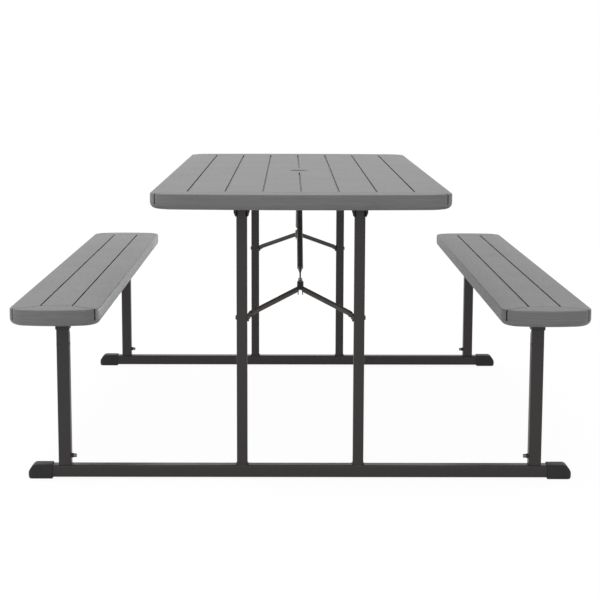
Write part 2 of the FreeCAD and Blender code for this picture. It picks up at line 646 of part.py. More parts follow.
def brace_tube(name, turn):
    """The long tube of the brace: flattened tongue at the knee, round to the top bracket."""
    zero = mm("yoke_length")
    radius, wall = mm("brace_radius"), mm("brace_wall")
    flat, tall = mm("tongue_wall"), mm("tongue_tall")
    tail, tongue, flare = mm("tongue_tail"), mm("tongue_length"), mm("flare_length")
    bite = mm("flare_bite")
    along = Vector(0, 1, 0)
    slab = Part.makeBox(flat, tongue + tail, tall, Vector(-flat / 2, zero - tail, -tall / 2))
    ends = [e for e in slab.Edges if runs_along(e, 0) and e.BoundBox.YMax < zero]
    slab = slab.makeFillet(tall * 0.42, ends)
    start = zero + tongue
    neck = Part.makeLoft([oval(start - bite, flat / 2 - NECK_SKIN, tall / 2 - 4 * NECK_SKIN),
                          oval(start + flare * 0.45, radius * 0.6, tall / 2 + 2 * NECK_SKIN),
                          oval(start + flare + bite, radius - NECK_SKIN, radius - NECK_SKIN)], True)
    pipe = Part.makeCylinder(radius, LINK_LENGTH + radius - tongue - flare,
                             Vector(0, start + flare, 0), along)
    bore = Part.makeCylinder(radius - wall, LINK_LENGTH + radius,
                             Vector(0, start + flare + 2 * bite, 0), along)
    tube = slab.fuse([neck, pipe]).removeSplitter().cut(bore)
    for place in (zero, zero + LINK_LENGTH):
        tube = tube.cut(shank(mm("knee_rivet_radius + pin_clearance"), -2 * radius, 2 * radius, place, 0))
    return solid_node(name, tube, brace_place(turn))


def oval(y, half_x, half_z, x=0.0):
    """A closed oval section across Y."""
    points = []
    for i in range(24):
        angle = 2 * math.pi * i / 24
        points.append(Vector(x + half_x * math.cos(angle), y, half_z * math.sin(angle)))
    curve = Part.BSplineCurve()
    curve.interpolate(points, PeriodicFlag=True)
    return Part.Wire([curve.toShape()])


def brace(end, turn):
    for side, way in sides_of(turn):
        keep(yoke_arm(f"{end}_{side}_yoke_arm", turn, way))
    keep(knee_clevis(f"{end}_knee_clevis", turn))
    rivet = cross_bolt(mm("knee_rivet_radius"), mm("knee_head_radius"), mm("knee_head"),
                       mm("fork_width / 2"), mm("yoke_length"), 0)
    keep(solid_node(f"{end}_knee_rivet", rivet, brace_place(turn)))
    keep(lock_ring(f"{end}_lock_ring", turn))
    keep(brace_tube(f"{end}_brace_tube", turn))


# ---------------------------------------------------------------- bench legs
PLATE_SCREWS = [(f"({i} * plate_screw)", f"({j} * plate_screw)") for i in (-1, 1) for j in (-1, 1)]


def leg_bracket(name, turn, way):
    """Plate under the seat, a cup, and a tab that the leg folds on; zero at the rivet."""
    x, y = way * mm("leg_spread"), -mm(FRAME_REACH)
    made = body(name, at_end(turn, x, y, mm("leg_pivot_height")))
    top = f"({BENCH_UNDER} - leg_pivot_height)"
    under_plate = f"({top} - bracket_wall)"
    shoulder = f"({top} - cup_height)"
    cup = sketch(made, "cup", "XY_Plane", shoulder)
    rectangle(cup, "cup_size", "cup_size")
    feature(made, "Pad", "box", cup, "cup_height")
    plate = sketch(made, "plate", "XY_Plane", under_plate)
    rectangle(plate, "plate_size", "plate_size")
    feature(made, "Pad", "flange", plate, "bracket_wall")
    inside = sketch(made, "inside", "XY_Plane", shoulder)
    rectangle(inside, "(cup_size - 2 * bracket_wall)", "(cup_size - 2 * bracket_wall)")
    cut_checked(made, "hollow", inside, "(cup_height - bracket_wall)", back=True)
    wide = "(leg_size - 2 * tube_wall - 2 * tab_gap)"
    tab = sketch(made, "tab", "YZ_Plane")
    polygon(tab, [("(-tab_depth / 2)", "(-tab_heel)"), ("(-tab_depth / 4)", "(-tab_depth / 2)"),
                  ("(tab_depth / 4)", "(-tab_depth / 2)"), ("(tab_depth / 2)", "(-tab_heel)"),
                  ("(tab_depth / 2)", under_plate), ("(-tab_depth / 2)", under_plate)])
    feature(made, "Pad", "hanger", tab, wide, both=True)
    core = sketch(made, "core", "YZ_Plane")
    web, high = "(tab_depth / 2 - tab_wall)", f"({shoulder} - 1)"
    polygon(core, [("(-tab_depth)", "(-tab_depth)"), (web, "(-tab_depth)"), (web, high),
                   ("(-tab_depth)", high)])
    cut_checked(made, "channel", core, f"({wide} - 2 * tab_wall)", both=True)
    drill_x(made, "rivet_hole", "leg_rivet_radius", "0", "0")
    drill_z(made, PLATE_SCREWS, top)
    return made


def bench_leg(name, turn, way):
    """A square tube that hangs on its rivet and stands over the rail's socket.

    Above the rivet its inboard wall is open, so that it can fold flat under the seat."""
    x, y = way * mm("leg_spread"), -mm(FRAME_REACH)
    foot = f"({LEG_FOOT} - leg_pivot_height)"
    made = square_tube(name, at_end(turn, x, y, mm("leg_pivot_height")), "XY_Plane", "leg_size",
                       f"({LEG_TOP} - {foot})", foot)
    drill_x(made, "rivet_hole", "(leg_rivet_radius + pin_clearance)", "0", "0")
    notch = sketch(made, "notch", "YZ_Plane")
    inner, past = "(leg_size / 2 - tube_wall)", f"({LEG_TOP} + {PAST})"
    low = "(-tab_depth / 2 - notch_room)"
    polygon(notch, [(f"({inner} - 1)", low), ("leg_size", low), ("leg_size", past),
                    (f"({inner} - 1)", past)])
    cut_checked(made, "open_wall", notch, f"(2 * ({inner} - hole_play))", both=True)
    lean = sketch(made, "lean", "YZ_Plane")
    polygon(lean, [("0", f"({LEG_TOP} - hole_play)"), ("(leg_size / 2 + 1)", f"({LEG_TOP} - lean_drop)"),
                   ("(leg_size / 2 + 1)", past), ("0", past)])
    cut_checked(made, "top_corner", lean, "(2 * leg_size)", both=True)
    lock_z = f"({RAIL_TOP} + lock_height - leg_pivot_height)"
    boss = sketch(made, "boss", "YZ_Plane", f"{-way} * leg_size / 2")
    circle(boss, "lock_boss_radius", "0", lock_z)
    feature(made, "Pad", "lock_boss", boss, "lock_boss", back=way > 0)
    bore = sketch(made, "lock_bore", "YZ_Plane", f"{-way} * leg_size / 2")
    circle(bore, "(lock_radius + hole_play)", "0", lock_z)
    cut_checked(made, "lock_hole", bore, "(2 * lock_boss + 2 * tube_wall)", both=True)
    return made


def lock_pin(name, turn, way):
    """Spring pin: shank through boss, leg wall and socket, with a knob to pull it by."""
    x, y = way * mm("leg_spread"), -mm(FRAME_REACH)
    face = mm("leg_size / 2 + lock_boss")
    inner = mm("leg_size / 2 - tube_wall - lock_bite")
    bar = Part.makeCylinder(mm("lock_radius"), face - inner, Vector(inner, 0, 0), Vector(1, 0, 0))
    tip = [e for e in bar.Edges if e.BoundBox.XMax < inner + 1e-6]
    bar = bar.makeChamfer(mm("lock_radius / 4"), tip)
    knob = Part.makeCylinder(mm("lock_radius * 1.2"), mm("lock_knob"), Vector(face + mm("hole_play"), 0, 0),
                             Vector(1, 0, 0))
    rims = [e for e in knob.Edges if e.BoundBox.XLength < 1e-6]
    knob = knob.makeFillet(mm("lock_radius * 0.3"), rims)
    neck = Part.makeCylinder(mm("lock_radius"), 2, Vector(face - 1, 0, 0), Vector(1, 0, 0))
    shape = bar.fuse([neck, knob]).removeSplitter()
    height = mm(f"{RAIL_TOP} + lock_height")
    turned = turn if way < 0 else turn + 180
    origin = at_end(turn, x, y, height).Base
    return solid_node(name, shape, Placement(origin, Rotation(Vector(0, 0, 1), turned)))


def benches():
    for side, way in SIDES:
        across = f"{way} * bench_spread"
        keep(panel(f"{side}_bench_seat", across, "bench_width", "bench_height", "bench_depth",
                   "bench_corner", ("bench_groove_pitch", "bench_groove_count", "bench_groove_inset")))
        shift = f"({way} * (leg_spread - bench_spread))"
        holes = [("screw_radius", f"{shift} + {i}", f"{end} * {FRAME_REACH} + {j}")
                 for end in (-1, 1) for i, j in PLATE_SCREWS]
        keep(lower_skin(f"{side}_bench_skin", across, "bench_width", "bench_height", BENCH_UNDER,
                        "bench_corner", holes))
        rivets, screws = [], []
        x = way * mm("leg_spread")
        for end in (-1, 1):
            y = end * mm(FRAME_REACH)
            rivets.append(cross_bolt(mm("leg_rivet_radius"), mm("rivet_head_radius"), mm("rivet_head"),
                                     mm("leg_size / 2"), y, mm("leg_pivot_height"), x))
            for i, j in PLATE_SCREWS:
                screws.append(wood_screw(x + mm(i), y + mm(j), mm(f"{BENCH_UNDER} - bracket_wall")))
        keep(solid_node(f"{side}_leg_rivets", Part.makeCompound(rivets)))
        keep(solid_node(f"{side}_bench_screws", Part.makeCompound(screws)))
    for end, turn in ENDS:
        for side, way in sides_of(turn):
            keep(leg_bracket(f"{end}_{side}_leg_bracket", turn, way))
            keep(bench_leg(f"{end}_{side}_bench_leg", turn, way))
            keep(lock_pin(f"{end}_{side}_lock_pin", turn, way))


# ---------------------------------------------------------------- table top
def table_top():
    made = panel("table_top", "0", "table_width", "table_height", "top_depth", "top_corner",
                 ("top_groove_pitch", "top_groove_count", "top_groove_inset"))
    flat = sketch(made, "flat", "XY_Plane", "(top_depth - groove_depth - 0.5)")
    rectangle(flat, "(2 * groove_width)", "(2 * umbrella_flat)")
    feature(made, "Pad", "groove_break", flat, "(groove_depth + 0.5)")
    ring = sketch(made, "sleeve", "XY_Plane", "(top_depth - top_body)")
    circle(ring, "(umbrella_radius + sleeve_wall)")
    feature(made, "Pad", "umbrella_sleeve", ring, "top_body")
    hole = sketch(made, "umbrella", "XY_Plane")
    circle(hole, "umbrella_radius")
    cut_checked(made, "umbrella_hole", hole, back=True)
    top, radius = mm("top_depth"), mm("umbrella_radius")
    base = made.Tip
    wanted = [f"Edge{i}" for i, e in enumerate(base.Shape.Edges, start=1)
              if isinstance(e.Curve, Part.Circle) and abs(e.Curve.Radius - radius) < 1e-3
              and abs(e.Curve.Center.z - top) < 1e-3]
    chamfer = made.newObject("PartDesign::Chamfer", "table_top_umbrella_rim")
    chamfer.Base = (base, wanted)
    bind(chamfer, "Size", "umbrella_lip")
    doc.recompute()
    return made


keep(table_top())
keep(lower_skin("table_top_skin", "0", "table_width", "table_height", TOP_UNDER, "top_corner",
                top_skin_holes()))
brackets_under_top()
for end_name, end_turn in ENDS:
    end_frame(end_name, end_turn)
    brace(end_name, end_turn)
benches()
doc.recompute()

# ---------------------------------------------------------------- checks and files
broken = [o.Name for o in doc.Objects if "Invalid" in o.State or "Error" in o.State]
if broken:
    raise RuntimeError(f"failed features: {broken}")
for node in NODES:
    shape = node.Shape
    if shape.isNull() or not shape.isValid() or not shape.Solids:
        raise RuntimeError(f"bad shape: {node.Label}")

os.makedirs("parts", exist_ok=True)
for node in NODES:
    node.Shape.exportStep(f"parts/{node.Label}.step")
    print(f"{node.Label:32s} {len(node.Shape.Solids)} solid(s) {node.Shape.Volume / 1000:9.1f} cm3")
print(len(NODES), "nodes")
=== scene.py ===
# %% [markdown]
# # A folding table with two benches
#
# A moulded plastic table with a bench along each side, on two steel end frames that fold up under
# the top.  The steel, the bolts and the brackets come from the frame at their real size.  Here
# they get their finishes, and the moulded parts, whose edges, board grooves and grain make the
# object what it is, are modelled again in detail.

# %% Load the frame
import math

import bmesh
import bpy
from mathutils import Matrix, Vector


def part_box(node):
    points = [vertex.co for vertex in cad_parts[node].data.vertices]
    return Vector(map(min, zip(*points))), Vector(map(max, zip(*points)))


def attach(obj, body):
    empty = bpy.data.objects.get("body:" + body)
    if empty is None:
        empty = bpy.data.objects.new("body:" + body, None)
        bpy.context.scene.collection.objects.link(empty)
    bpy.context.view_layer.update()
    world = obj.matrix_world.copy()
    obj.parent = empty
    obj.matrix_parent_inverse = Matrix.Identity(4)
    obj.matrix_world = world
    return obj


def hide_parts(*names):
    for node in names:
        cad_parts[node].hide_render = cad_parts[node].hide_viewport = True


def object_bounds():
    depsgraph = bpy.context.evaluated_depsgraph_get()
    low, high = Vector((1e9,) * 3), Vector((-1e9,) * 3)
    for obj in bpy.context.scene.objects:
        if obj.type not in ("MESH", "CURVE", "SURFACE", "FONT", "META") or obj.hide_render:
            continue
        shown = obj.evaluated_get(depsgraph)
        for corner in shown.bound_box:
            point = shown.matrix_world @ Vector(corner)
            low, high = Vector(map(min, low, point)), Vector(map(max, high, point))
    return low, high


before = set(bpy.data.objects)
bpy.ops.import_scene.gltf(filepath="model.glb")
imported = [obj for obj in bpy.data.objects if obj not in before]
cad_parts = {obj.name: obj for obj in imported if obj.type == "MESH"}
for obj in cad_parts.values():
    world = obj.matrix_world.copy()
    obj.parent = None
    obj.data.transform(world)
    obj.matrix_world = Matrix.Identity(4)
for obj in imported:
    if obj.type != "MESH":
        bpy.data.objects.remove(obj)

MM = 0.001
ENDS = ("front", "rear")
SIDES = ("left", "right")
box_at_start = [list(corner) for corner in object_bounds()]

# %% [markdown]
# ## Helpers
#
# Operators act on whatever is selected, so each step starts by selecting nothing and then picks
# vertices, edges or faces by where they are.  A small set of helpers does that picking.


# %% Selecting in code
def deselect():
    """Leave edit mode and select nothing at all."""
    if bpy.context.object and bpy.context.object.mode != "OBJECT":
        bpy.ops.object.mode_set(mode="OBJECT")
    bpy.ops.object.select_all(action="DESELECT")


def edit(thing, kind="VERT"):
    """Open one object in edit mode with nothing selected."""
    deselect()
    bpy.context.view_layer.objects.active = thing
    thing.select_set(True)
    bpy.ops.object.mode_set(mode="EDIT")
    bpy.ops.mesh.select_mode(type=kind)
    bpy.ops.mesh.select_all(action="DESELECT")


def pick(thing, kind, test):
    """Select the vertices, edges or faces for which the test holds; says how many."""
    bpy.ops.mesh.select_mode(type=kind)
    bpy.ops.mesh.select_all(action="DESELECT")
    shape = bmesh.from_edit_mesh(thing.data)
    items = {"VERT": shape.verts, "EDGE": shape.edges, "FACE": shape.faces}[kind]
    found = [item for item in items if test(item)]
    for item in found:
        item.select_set(True)
    shape.select_flush_mode()
    bmesh.update_edit_mesh(thing.data)
    return len(found)


def level(item, height, tolerance=0.05 * MM):
    """True when every vertex of an edge or face lies at one height."""
    return all(abs(v.co.z - height) < tolerance for v in item.verts)


def apply_modifier(thing, kind, **settings):
    """Add one modifier, set it and apply it."""
    deselect()
    bpy.context.view_layer.objects.active = thing
    thing.select_set(True)
    modifier = thing.modifiers.new(kind.title(), kind)
    for name, value in settings.items():
        setattr(modifier, name, value)
    bpy.ops.object.modifier_apply(modifier=modifier.name)


def carve(thing, tools, operation="DIFFERENCE"):
    """Cut each tool out of the object (or add it) and throw the tools away."""
    for tool in tools:
        apply_modifier(thing, "BOOLEAN", object=tool, operation=operation, solver="EXACT")
        bpy.data.objects.remove(tool)


def block(name, low, high, round_by=0.0, segments=2):
    """A block between two corners, its edges rounded by a bevel, with its place in its mesh."""
    deselect()
    middle = [(a + b) / 2 for a, b in zip(low, high)]
    bpy.ops.mesh.primitive_cube_add(size=1, location=middle)
    made = bpy.context.object
    made.name = name
    made.scale = [b - a for a, b in zip(low, high)]
    bpy.ops.object.transform_apply(location=True, scale=True)
    if round_by:
        apply_modifier(made, "BEVEL", width=round_by, segments=segments)
    return made


def finish_piece(made, body, material, stands_for=()):
    """Give a finished piece its material and its body, and hide the frame nodes it stands for."""
    deselect()
    bpy.context.view_layer.objects.active = made
    made.select_set(True)
    made.data.materials.clear()
    made.data.materials.append(material)
    bpy.ops.object.shade_smooth_by_angle(angle=math.radians(34))
    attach(made, body)
    if stands_for:
        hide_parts(*stands_for)
    print(made.name, "has", len(made.data.polygons), "faces and rides on", body)


# %% [markdown]
# ## Light, floor and camera
#
# The object stands in an evenly lit white room.  The camera stands in front of one end, a little
# above the top, with a long lens: that keeps the far end of the table large.

# %% Camera
PHOTO_SIDE = 600                   # pixels
FOCAL_PIXELS = 1569.8
SENSOR = 36.0                      # mm
CAMERA_AT = Vector((-0.0284, -4.6936, 1.0414))
LOOK_DOWN = math.radians(8.431)
LOOK_RIGHT = math.radians(0.392)
ROLL = math.radians(0.171)

bpy.ops.object.camera_add()
camera = bpy.context.object
camera.name = "camera"
camera.data.sensor_width = SENSOR
camera.data.lens = SENSOR * FOCAL_PIXELS / PHOTO_SIDE
camera.data.clip_end = 60
turn = (Matrix.Rotation(-LOOK_RIGHT, 4, "Z") @ Matrix.Rotation(math.radians(90) - LOOK_DOWN, 4, "X")
        @ Matrix.Rotation(ROLL, 4, "Z"))
camera.matrix_world = Matrix.Translation(CAMERA_AT) @ turn
bpy.context.scene.camera = camera
bpy.context.scene.view_settings.view_transform = "Standard"
print("lens", round(camera.data.lens, 1), "mm")


# %% Colours and nodes
def linear(code):
    """An sRGB hex colour such as "9a9a9a" as linear red, green, blue and alpha."""
    parts = [int(code[i:i + 2], 16) / 255 for i in (0, 2, 4)]
    return [v / 12.92 if v <= 0.04045 else ((v + 0.055) / 1.055) ** 2.4 for v in parts] + [1.0]


def node(tree, kind, settings=None, **links):
    """Add a node, set its properties and its inputs; an input may be a value or another socket."""
    made = tree.nodes.new(kind)
    for name, value in (settings or {}).items():
        setattr(made, name, value)
    for name, value in links.items():
        socket = made.inputs[int(name[1:])] if name[1:].isdigit() else made.inputs[name.replace("_", " ")]
        if isinstance(value, bpy.types.NodeSocket):
            tree.links.new(value, socket)
        else:
            socket.default_value = value
    return made


# %% World: white to the eye, a softer white on the object
ROOM_LIGHT = 0.80
ROOM_LEAN = -0.20                  # the room is a little darker on the right
world = bpy.data.worlds.new("white_room")
bpy.context.scene.world = world
world.use_nodes = True
air = world.node_tree
air.nodes.clear()
path = node(air, "ShaderNodeLightPath")
seen = node(air, "ShaderNodeMath", {"operation": "MAXIMUM"}, _0=path.outputs["Is Camera Ray"],
            _1=path.outputs["Is Glossy Ray"])
seen = node(air, "ShaderNodeMath", {"operation": "MAXIMUM"}, _0=seen.outputs[0],
            _1=path.outputs["Is Transmission Ray"])
bright = node(air, "ShaderNodeMix", {"data_type": "FLOAT"}, Factor=seen.outputs[0],
              _2=ROOM_LIGHT, _3=1.0)
way = node(air, "ShaderNodeSeparateXYZ", Vector=node(air, "ShaderNodeTexCoord").outputs["Generated"])
leaning = node(air, "ShaderNodeMath", {"operation": "MULTIPLY_ADD"}, _0=way.outputs["X"],
               _1=ROOM_LEAN, _2=1.0)
strength = node(air, "ShaderNodeMath", {"operation": "MULTIPLY"}, _0=bright.outputs[0],
                _1=leaning.outputs[0])
strength = node(air, "ShaderNodeMix", {"data_type": "FLOAT"}, Factor=path.outputs["Is Camera Ray"],
                _2=strength.outputs[0], _3=1.0)
sky = node(air, "ShaderNodeBackground", Color=linear("ffffff"), Strength=strength.outputs[0])
node(air, "ShaderNodeOutputWorld", Surface=sky.outputs[0])


# %% [markdown]
# A large lamp over the table is dim and soft.  A second one, low on the right and behind, lights
# the inner side of the left bench and nothing else; the cell after the seats tells it so.

# %% Soft lamps
def soft_lamp(name, place, target, size, power):
    """A round area lamp at a place, turned to a target; size in metres, power in watts."""
    bpy.ops.object.light_add(type="AREA", location=place)
    lamp = bpy.context.object
    lamp.name = name
    lamp.data.shape = "DISK"
    lamp.data.size = size
    lamp.data.energy = power
    aim = Vector(target) - Vector(place)
    lamp.rotation_euler = aim.to_track_quat("-Z", "Y").to_euler()
    return lamp


soft_lamp("overhead_lamp", place=(-1.1, 0.6, 3.6), target=(0, 0, 0.7), size=2.6, power=12)
bench_lamp = soft_lamp("bench_lamp", place=(1.9, 1.8, 0.8), target=(-0.5, 0, 0.44), size=1.2, power=75)

# %% [markdown]
# The floor is white to the camera, half as glowing in what the object mirrors, and darker still to
# the light that bounces off it.  It is mostly glow and partly lit, so the shadow under the feet
# stays faint but doesn't go away.

# %% Floor
FLOOR_SIDE = 24                    # metres
FLOOR_DROP = 0.4 * MM              # below the foot caps, so the two never share a plane
FLOOR_GLOW = 0.86                  # the share that light and shadow don't change
MIRRORED_GLOW = 0.45               # the same, for what the object mirrors
GLOW_STRENGTH = 1.08
deselect()
bpy.ops.mesh.primitive_plane_add(size=FLOOR_SIDE, location=(0, 0, -FLOOR_DROP))
floor = bpy.context.object
floor.name = "floor"
floor_paint = bpy.data.materials.new("white_floor_paint")
floor_paint.use_nodes = True
tree = floor_paint.node_tree
tree.nodes.clear()
path = node(tree, "ShaderNodeLightPath")
lit = node(tree, "ShaderNodeBsdfDiffuse", Color=linear("e6e6e6"))
glow = node(tree, "ShaderNodeEmission", Color=linear("ffffff"), Strength=GLOW_STRENGTH)
mirrored = node(tree, "ShaderNodeMath", {"operation": "MULTIPLY"}, _0=path.outputs["Is Glossy Ray"],
                _1=MIRRORED_GLOW)
share = node(tree, "ShaderNodeMath", {"operation": "MULTIPLY_ADD"}, _0=path.outputs["Is Camera Ray"],
             _1=FLOOR_GLOW, _2=mirrored.outputs[0])
mixed = node(tree, "ShaderNodeMixShader", Fac=share.outputs[0], _1=lit.outputs[0], _2=glow.outputs[0])
node(tree, "ShaderNodeOutputMaterial", Surface=mixed.outputs[0])
floor.data.materials.append(floor_paint)

# %% [markdown]
# ## Finishes
#
# The top and the seats are blow-moulded high-density polyethylene.  The mould is engraved with
# wood grain, so the plastic carries fine lines along each board.  The plastic itself is a flat
# mid grey with a dull, waxy sheen: at a low angle it mirrors the bright room and looks paler.
# Each board has a plain-sawn figure: nested arches down its middle that run out into straight
# lines at its sides; figured says how strong it is.  The arches are a sine of distance along the
# board plus the square of the distance from its middle.  On the panel's upright faces the lines
# lie level instead.  Painted shade: ambient occlusion finds the pressed lines and darkens them.


# %% Moulded polyethylene with wood grain
PLASTIC_DARK = "666666"
PLASTIC_LIGHT = "7b7b7b"
FIGURE_STEP = 170 * MM             # from one arch to the next
FIGURE_ARCH = 30.0                 # arches crossed from a board's middle to one board's width away
FIGURE_BEND = 5.0                  # lines by which the slow noise shifts the figure
BOARD_SHIFT = 3.7                  # metres from one board's grain to the next one's
EDGE_STEP = 8 * MM                 # from one level line to the next on an upright face
SHADE_REACH = 7 * MM               # how near a wall has to be to shade the plastic beside it
SHEEN = 0.44                       # roughness of the moulded face


def maths(tree, operation, *values):
    """The output of one maths node."""
    return node(tree, "ShaderNodeMath", {"operation": operation},
                **{f"_{i}": value for i, value in enumerate(values)}).outputs[0]


def grained_polyethylene(name, board_pitch, board_shift, figured):
    """Grey polyethylene with an engraved grain along Y; boards are board_pitch wide."""
    paint = bpy.data.materials.new(name)
    paint.use_nodes = True
    tree = paint.node_tree
    tree.nodes.clear()
    spot = node(tree, "ShaderNodeTexCoord")
    place = spot.outputs["Object"]
    x, y, z = node(tree, "ShaderNodeSeparateXYZ", Vector=place).outputs
    facing = node(tree, "ShaderNodeSeparateXYZ", Vector=spot.outputs["Normal"]).outputs["Z"]
    upright = maths(tree, "LESS_THAN", maths(tree, "ABSOLUTE", facing), 0.6)
    board = maths(tree, "DIVIDE", maths(tree, "ADD", x, board_shift), board_pitch)
    number = maths(tree, "FLOOR", board)
    off_middle = maths(tree, "SUBTRACT", maths(tree, "SUBTRACT", board, number), 0.5)
    along = maths(tree, "ADD", y, maths(tree, "MULTIPLY", number, BOARD_SHIFT))
    edge_along = maths(tree, "ADD", x, y)
    across_way = node(tree, "ShaderNodeMix", {"data_type": "FLOAT"}, Factor=upright, _2=x, _3=z)
    along_way = node(tree, "ShaderNodeMix", {"data_type": "FLOAT"}, Factor=upright, _2=along, _3=edge_along)
    grain_place = node(tree, "ShaderNodeCombineXYZ", X=across_way.outputs[0], Y=along_way.outputs[0])
    # slow noise, 30 mm across and 400 mm along, that bends the figure
    bend_place = node(tree, "ShaderNodeMapping", {"vector_type": "POINT"}, Vector=grain_place.outputs[0],
                      Scale=(1 / (30 * MM), 1 / (400 * MM), 1))
    bend = node(tree, "ShaderNodeTexNoise", Vector=bend_place.outputs[0], Scale=1.0, Detail=2.0)
    # the figure, counted in lines: arches on the boards, level lines on the upright faces
    arch = maths(tree, "MULTIPLY", maths(tree, "POWER", off_middle, 2.0), FIGURE_ARCH)
    arch = maths(tree, "ADD", arch, maths(tree, "DIVIDE", along, FIGURE_STEP))
    count = node(tree, "ShaderNodeMix", {"data_type": "FLOAT"}, Factor=upright, _2=arch,
                 _3=maths(tree, "DIVIDE", z, EDGE_STEP))
    count = maths(tree, "ADD", count.outputs[0], maths(tree, "MULTIPLY", bend.outputs["Fac"], FIGURE_BEND))
    wave = maths(tree, "SINE", maths(tree, "MULTIPLY", count, 2 * math.pi))
    figure = maths(tree, "MULTIPLY_ADD", wave, 0.5, 0.5)
    # pores: fine streaks 1.6 mm across and about 50 mm long
    fine = node(tree, "ShaderNodeMapping", {"vector_type": "POINT"}, Vector=grain_place.outputs[0],
                Scale=(1 / (1.6 * MM), 1 / (50 * MM), 1))
    pores = node(tree, "ShaderNodeTexNoise", Vector=fine.outputs[0], Scale=1.0, Detail=3.0, Roughness=0.6)
    # a slow cloud, 150 mm across: moulded plastic is never quite one tone
    cloud = node(tree, "ShaderNodeTexNoise", Vector=place, Scale=1 / (150 * MM), Detail=2.0)
    height = node(tree, "ShaderNodeMix", {"data_type": "FLOAT"}, Factor=figured, _2=pores.outputs["Fac"],
                  _3=figure)
    tone = node(tree, "ShaderNodeMix", {"data_type": "FLOAT"}, Factor=0.35, _2=height.outputs[0],
                _3=cloud.outputs["Fac"])
    colour = node(tree, "ShaderNodeValToRGB", Fac=tone.outputs[0])
    colour.color_ramp.elements[0].position = 0.30
    colour.color_ramp.elements[0].color = linear(PLASTIC_DARK)
    colour.color_ramp.elements[1].position = 0.70
    colour.color_ramp.elements[1].color = linear(PLASTIC_LIGHT)
    # painted shade: ambient occlusion darkens the colour in the grooves, creases and slots
    shade = node(tree, "ShaderNodeAmbientOcclusion", {"samples": 8, "only_local": True},
                 Distance=SHADE_REACH)
    shade = node(tree, "ShaderNodeMapRange", Value=shade.outputs["AO"], From_Min=0.30, From_Max=0.80,
                 To_Min=0.25, To_Max=1.0)
    shaded = node(tree, "ShaderNodeMix", {"data_type": "RGBA", "blend_type": "MULTIPLY"}, Factor=1.0,
                  _6=colour.outputs["Color"], _7=shade.outputs[0])
    bump = node(tree, "ShaderNodeBump", Strength=0.35, Distance=0.25 * MM, Height=height.outputs[0])
    plastic = node(tree, "ShaderNodeBsdfPrincipled", Base_Color=shaded.outputs[2], Roughness=SHEEN,
                   IOR=1.50, Normal=bump.outputs[0])
    node(tree, "ShaderNodeOutputMaterial", Surface=plastic.outputs[0])
    return paint


# %% [markdown]
# The steel is powder coated in charcoal: a sprayed powder that melts to a skin with a faint
# orange-peel ripple.  The folded brackets carry the same coat in a copy a shade darker, which is
# painted shade, and the brace's arms and tube in a copy a shade lighter, which is painted light.
# Caps are black polypropylene with a fine spark-eroded texture, and the small hardware is zinc plated.


# %% One recipe for the coats whose surface is a fine ripple
def rippled(name, light, dark, roughness, ripple, depth, metallic=0.0):
    """A finish between two close tones with a fine ripple; ripple and depth are in metres."""
    paint = bpy.data.materials.new(name)
    paint.use_nodes = True
    tree = paint.node_tree
    tree.nodes.clear()
    place = node(tree, "ShaderNodeTexCoord").outputs["Object"]
    peel = node(tree, "ShaderNodeTexNoise", Vector=place, Scale=1 / ripple, Detail=2.0)
    patch = node(tree, "ShaderNodeTexNoise", Vector=place, Scale=1 / (40 * ripple), Detail=3.0)
    colour = node(tree, "ShaderNodeMix", {"data_type": "RGBA"}, Factor=patch.outputs["Fac"],
                  _6=linear(light), _7=linear(dark))
    bump = node(tree, "ShaderNodeBump", Strength=0.3, Distance=depth, Height=peel.outputs["Fac"])
    coat = node(tree, "ShaderNodeBsdfPrincipled", Base_Color=colour.outputs[2], Roughness=roughness,
                Metallic=metallic, Normal=bump.outputs[0])
    node(tree, "ShaderNodeOutputMaterial", Surface=coat.outputs[0])
    return paint


# %% The coats and platings
steel_coat = rippled("charcoal_powder_coat", "2f2929", "2a2424", roughness=0.37, ripple=1.2 * MM,
                     depth=0.05 * MM)
# painted shade: the charcoal coat a shade darker, for the brackets and their bolts
painted_shade_coat = rippled("bracket_coat_painted_shade", "2a2726", "242222", roughness=0.46, ripple=1.2 * MM,
                       depth=0.05 * MM)
# painted light: the charcoal coat a shade lighter, for the brace tube
painted_light_tube_coat = rippled("brace_tube_coat_painted_light", "4b4a45", "42413d", roughness=0.34, ripple=1.4 * MM,
                     depth=0.05 * MM)
# painted light: the charcoal coat a shade lighter, for the brace arms and the clevis
painted_light_arm_coat = rippled("brace_arm_coat_painted_light", "4b4643", "433e3b", roughness=0.40, ripple=1.2 * MM,
                   depth=0.05 * MM)
cap_plastic = rippled("black_polypropylene", "161619", "121214", roughness=0.55, ripple=0.8 * MM,
                      depth=0.08 * MM)
skin_plastic = rippled("plain_polyethylene", "7d7d7d", "757575", roughness=0.58, ripple=2.0 * MM,
                       depth=0.10 * MM)
zinc = rippled("zinc_plate", "8a8c8e", "77787a", roughness=0.36, ripple=0.6 * MM, depth=0.02 * MM,
               metallic=1.0)
weld_metal = rippled("coated_weld_bead", "3a3635", "33302f", roughness=0.40, ripple=2.2 * MM,
                     depth=0.12 * MM)

TOP_PITCH = 93.8 * MM
BENCH_PITCH = 79.4 * MM
BENCH_CENTRE = 607 * MM
top_plastic = grained_polyethylene("grained_polyethylene_top", TOP_PITCH, 0.0, 0.14)
left_plastic = grained_polyethylene("grained_polyethylene_left", BENCH_PITCH,
                                    BENCH_CENTRE + BENCH_PITCH / 2, 0.16)
right_plastic = grained_polyethylene("grained_polyethylene_right", BENCH_PITCH,
                                     BENCH_PITCH / 2 - BENCH_CENTRE + 3 * BENCH_PITCH, 0.26)


